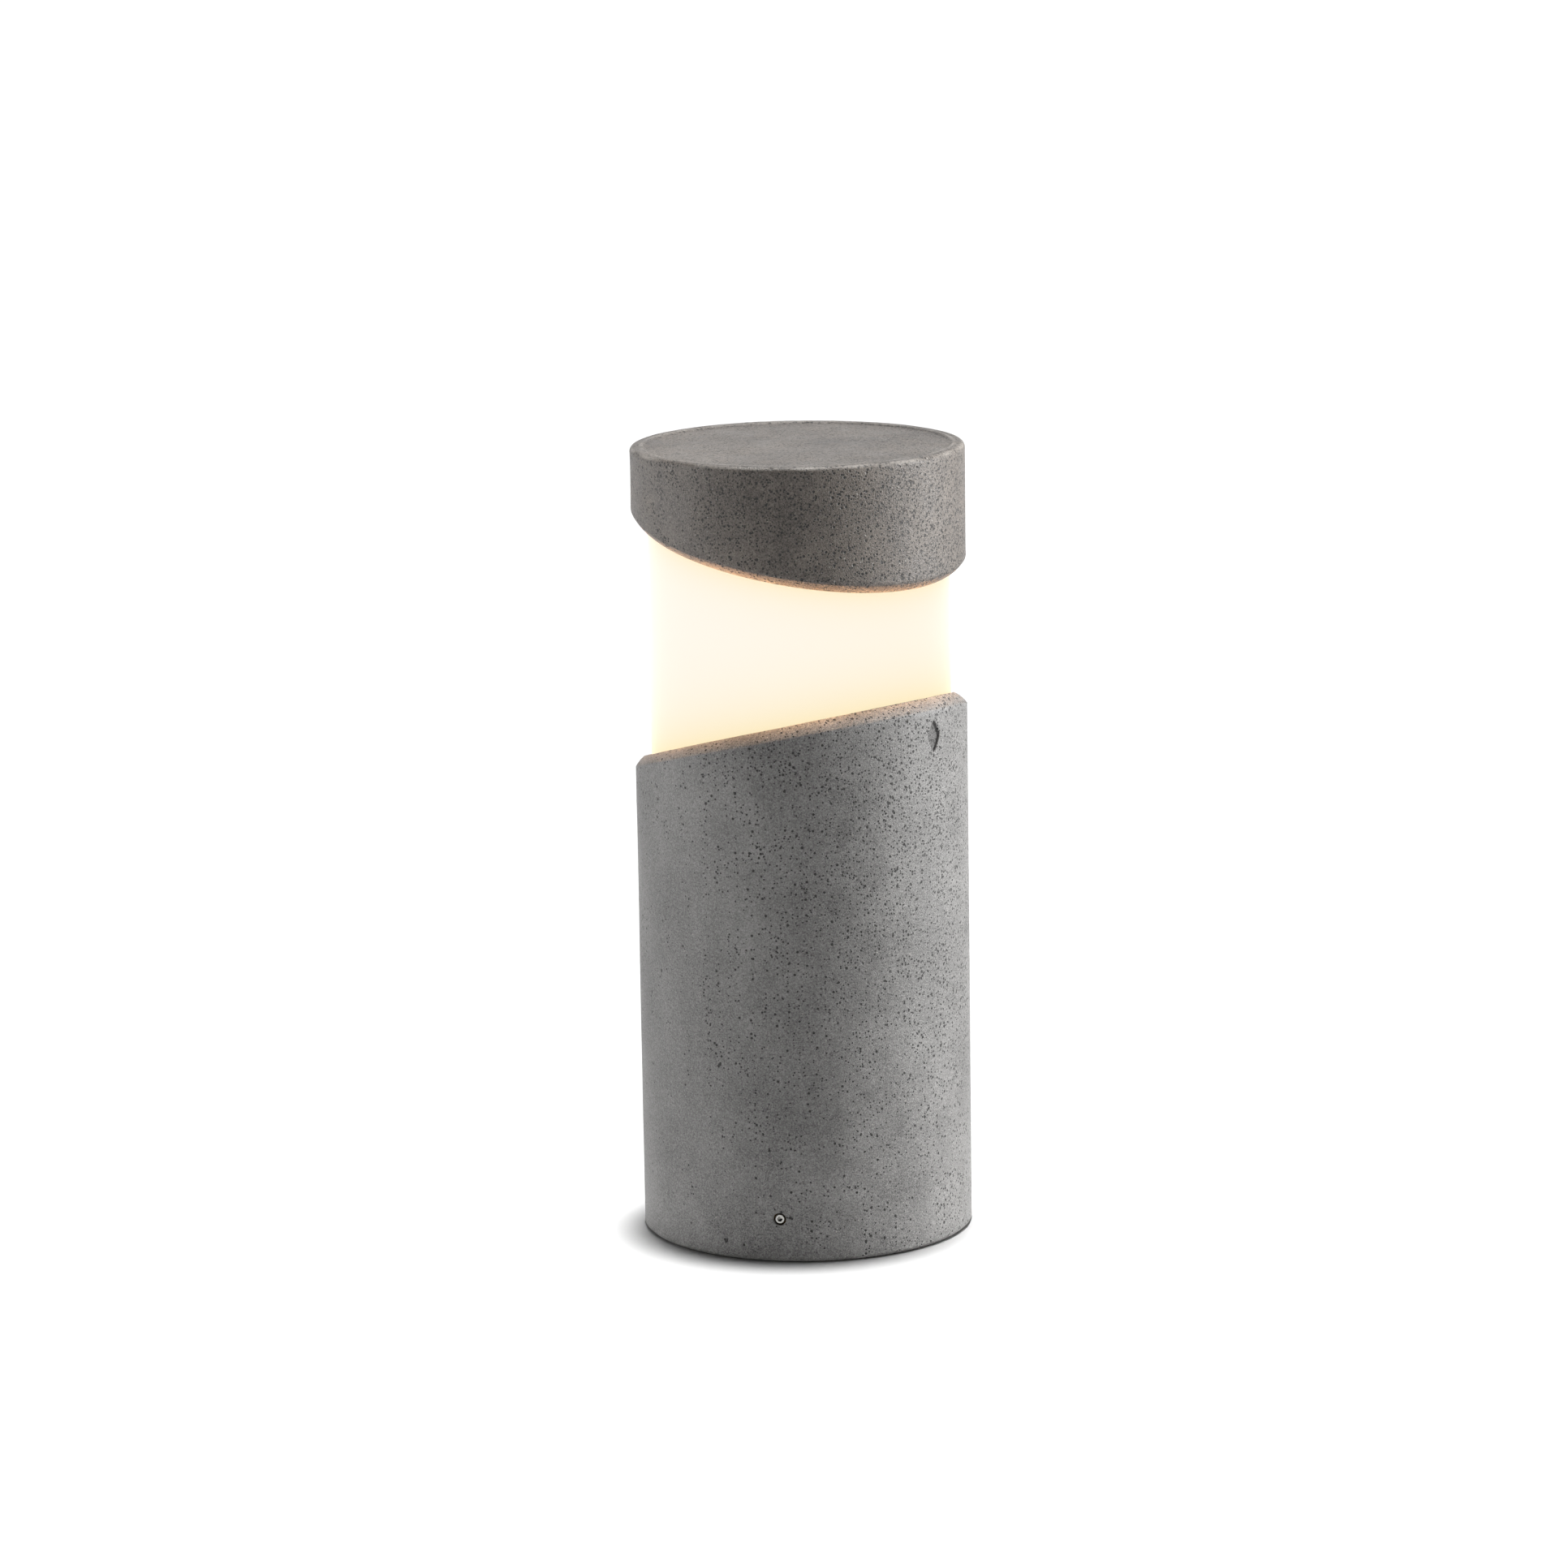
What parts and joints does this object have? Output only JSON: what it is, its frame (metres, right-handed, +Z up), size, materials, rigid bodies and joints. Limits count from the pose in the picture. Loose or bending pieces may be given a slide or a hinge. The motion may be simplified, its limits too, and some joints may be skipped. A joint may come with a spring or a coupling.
{
  "type": "bollard garden light",
  "caption": "Short cylindrical garden light in cast concrete, with a slanted body rim, a slanted cap and an opal tube glowing between them.",
  "frame": {"origin": "centre of the round foot, on the ground", "axes": "+Z up; the light opening is narrowest towards -Y and tallest towards +Y; the recessed lozenge is near -Y"},
  "size_m": [0.166, 0.166, 0.397],
  "materials": {
    "fine_concrete": "fair-faced, fine grained, with small air pores",
    "opal_acrylic": "opal, smooth, glows warm white when lit",
    "silicone_seal": "matt, translucent",
    "white_enamel": "satin",
    "zinc_screw": "zinc plated",
    "stainless_screw": "bright stainless",
    "insert_brass": "turned",
    "cast_aluminium": "die cast, fine grain",
    "galvanised_sheet": "galvanised, faint spangle",
    "grey_box_plastic": "moulded, fine texture",
    "block_nylon": "moulded",
    "black_nylon": "moulded",
    "black_rubber": "matt",
    "porcelain": "glazed",
    "lamp_nickel": "nickel plated",
    "black_vitrite": "black glass insulator",
    "lamp_white_plastic": "moulded",
    "lamp_opal_plastic": "opal",
    "brown_silicone": "satin",
    "blue_silicone": "satin",
    "green_yellow_silicone": "satin"
  },
  "bodies": {
    "base": {"base_plate": "cast_aluminium", "gear_bracket": "galvanised_sheet", "bracket_screws": "zinc_screw", "terminal_box": "grey_box_plastic", "terminal_box_lid": "grey_box_plastic", "box_lid_screws": "zinc_screw", "box_screws": "zinc_screw", "terminal_block": "block_nylon", "terminal_screws": "insert_brass", "gland_body": "black_nylon", "gland_locknut": "black_nylon", "gland_dome_nut": "black_nylon", "gland_seal": "black_rubber", "lampholder_body": "porcelain", "lampholder_shell": "insert_brass", "lampholder_contact": "insert_brass", "lampholder_screws": "zinc_screw", "lead_grommets": "black_rubber", "live_lead": "brown_silicone", "neutral_lead": "blue_silicone", "earth_lead": "green_yellow_silicone", "earth_screw": "zinc_screw"},
    "shell": {"lower_housing": "fine_concrete", "cap": "fine_concrete", "diffuser": "opal_acrylic", "diffuser_lower_seal": "silicone_seal", "diffuser_upper_seal": "silicone_seal", "cap_reflector": "white_enamel", "reflector_screws": "zinc_screw", "screw_inserts": "insert_brass"},
    "lamp": {"lamp_contact": "lamp_nickel", "lamp_insulator": "black_vitrite", "lamp_screw_cap": "lamp_nickel", "lamp_housing": "lamp_white_plastic", "lamp_globe": "lamp_opal_plastic"},
    "grub_screw_1": {"grub_screw_1": "stainless_screw"},
    "grub_screw_2": {"grub_screw_2": "stainless_screw"},
    "grub_screw_3": {"grub_screw_3": "stainless_screw"}
  },
  "joints": [
    {"name": "shell_lift", "type": "slide", "parent": "base", "child": "shell", "axis": [0, 0, 1], "range_m": [0, 0.32]},
    {"name": "lamp_out", "type": "slide", "parent": "base", "child": "lamp", "axis": [0, 0, 1], "range_m": [0, 0.028]},
    {"name": "grub_screw_1_out", "type": "slide", "parent": "shell", "child": "grub_screw_1", "axis": [-0.8192, -0.5736, 0], "range_m": [0, 0.012]},
    {"name": "grub_screw_2_out", "type": "slide", "parent": "shell", "child": "grub_screw_2", "axis": [0.9063, -0.4226, 0], "range_m": [0, 0.012]},
    {"name": "grub_screw_3_out", "type": "slide", "parent": "shell", "child": "grub_screw_3", "axis": [-0.0872, 0.9962, 0], "range_m": [0, 0.012]}
  ]
}
